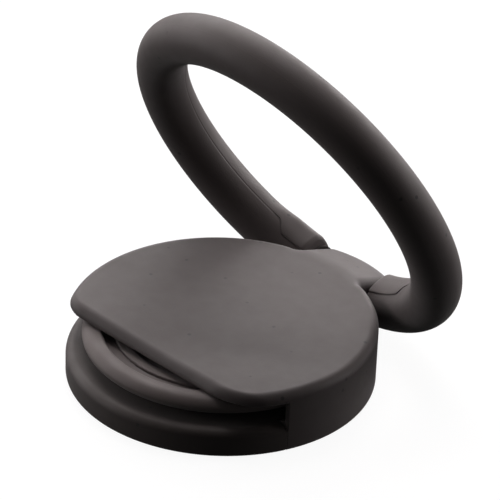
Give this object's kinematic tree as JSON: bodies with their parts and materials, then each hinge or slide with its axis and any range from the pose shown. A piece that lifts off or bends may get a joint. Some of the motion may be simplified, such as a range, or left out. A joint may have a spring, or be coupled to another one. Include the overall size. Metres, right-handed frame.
{
  "type": "phone ring stand",
  "caption": "Low round puck that sticks to a phone, with a hinged finger ring that stands up as a prop or folds flat, and a front slot that stores a token.",
  "frame": {"origin": "centre of the adhesive face that sticks to the phone", "axes": "+Z away from the phone, +Y towards the ring's hinge, token leaves towards -Y"},
  "size_m": [0.0342, 0.0301, 0.0316],
  "materials": {
    "puck_plastic": "soft-touch matt charcoal moulding",
    "token_plastic": "matt charcoal moulding",
    "ring_grip": "soft-touch matt charcoal over-moulding",
    "ring_cover": "matt charcoal moulding",
    "adhesive_foam": "black acrylic foam pad",
    "bush_plastic": "natural acetal",
    "washer": "dark nylon",
    "steel": "plain drawn steel"
  },
  "bodies": {
    "puck": {"base_disc": "puck_plastic", "upper_shell": "puck_plastic", "adhesive_pad": "adhesive_foam", "hinge_bush": "bush_plastic"},
    "ring": {"ring_grip": "ring_grip", "ring_core": "steel", "hinge_pin": "steel", "ring_end_left": "ring_cover", "ring_end_right": "ring_cover", "core_rivet_left": "steel", "core_rivet_right": "steel", "hinge_washer_left": "washer", "hinge_washer_right": "washer"},
    "token": {"token_disc": "token_plastic", "token_inlay": "token_plastic"}
  },
  "joints": [
    {"name": "ring_hinge", "type": "hinge", "parent": "puck", "child": "ring", "pos_m": [0, 0.01497, 0.00287], "axis": [-1, 0, 0], "range_deg": [-52.3, 115]},
    {"name": "token_slide", "type": "slide", "parent": "puck", "child": "token", "axis": [0, -1, 0], "range_m": [0, 0.026]}
  ]
}
